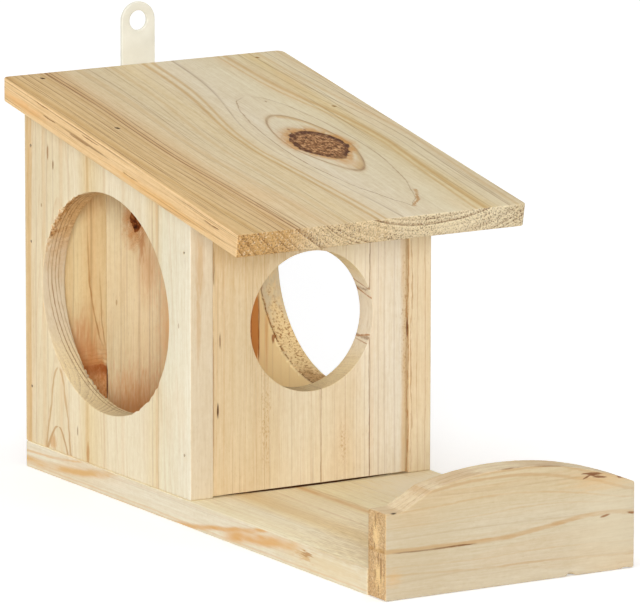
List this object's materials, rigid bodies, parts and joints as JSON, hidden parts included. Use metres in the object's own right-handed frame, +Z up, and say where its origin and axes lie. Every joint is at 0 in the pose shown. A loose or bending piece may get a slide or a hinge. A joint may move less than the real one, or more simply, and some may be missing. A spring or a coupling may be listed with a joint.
{
  "type": "squirrel feeder box",
  "caption": "Small pine house with a sloping roof, wide side openings and a round entrance, on a long base board that ends in a tray with an arched front board.",
  "frame": {"origin": "on the resting plane, under the middle of the whole object's box", "axes": "+X to the object's right seen from the wall, -Y to the front where the tray is, +Y to the wall, +Z up"},
  "size_m": [0.154, 0.332, 0.219],
  "materials": {
    "roof_pine": "planed pine with a dark knot, unfinished",
    "side_pine": "planed pale pine, unfinished",
    "front_pine": "planed fine-grained pine, unfinished",
    "inner_pine": "planed pine, two strips glued",
    "base_pine": "planed pine, unfinished",
    "tray_pine": "sawn and sanded pine, unfinished",
    "hanger_steel": "off-white coated strip",
    "fastener_steel": "plain steel, slightly dull"
  },
  "bodies": {
    "root": {"base_board": "base_pine", "left_side_panel": "side_pine", "right_side_panel": "side_pine", "front_panel": "front_pine", "back_panel_left": "inner_pine", "back_panel_right": "inner_pine", "roof_board": "roof_pine", "tray_front_board": "tray_pine", "hanger_plate": "hanger_steel", "hanger_screw_lower": "fastener_steel", "hanger_screw_upper": "fastener_steel", "roof_pin_left_back": "fastener_steel", "roof_pin_left_front": "fastener_steel", "roof_pin_right_back": "fastener_steel", "roof_pin_right_front": "fastener_steel", "side_back_pin_left_low": "fastener_steel", "side_back_pin_left_middle": "fastener_steel", "side_back_pin_left_high": "fastener_steel", "side_back_pin_right_low": "fastener_steel", "side_back_pin_right_middle": "fastener_steel", "side_back_pin_right_high": "fastener_steel", "side_front_pin_left_low": "fastener_steel", "side_front_pin_left_high": "fastener_steel", "side_front_pin_right_low": "fastener_steel", "side_front_pin_right_high": "fastener_steel", "base_pin_left_back": "fastener_steel", "base_pin_left_front": "fastener_steel", "base_pin_right_back": "fastener_steel", "base_pin_right_front": "fastener_steel", "base_pin_back": "fastener_steel"}
  },
  "joints": []
}
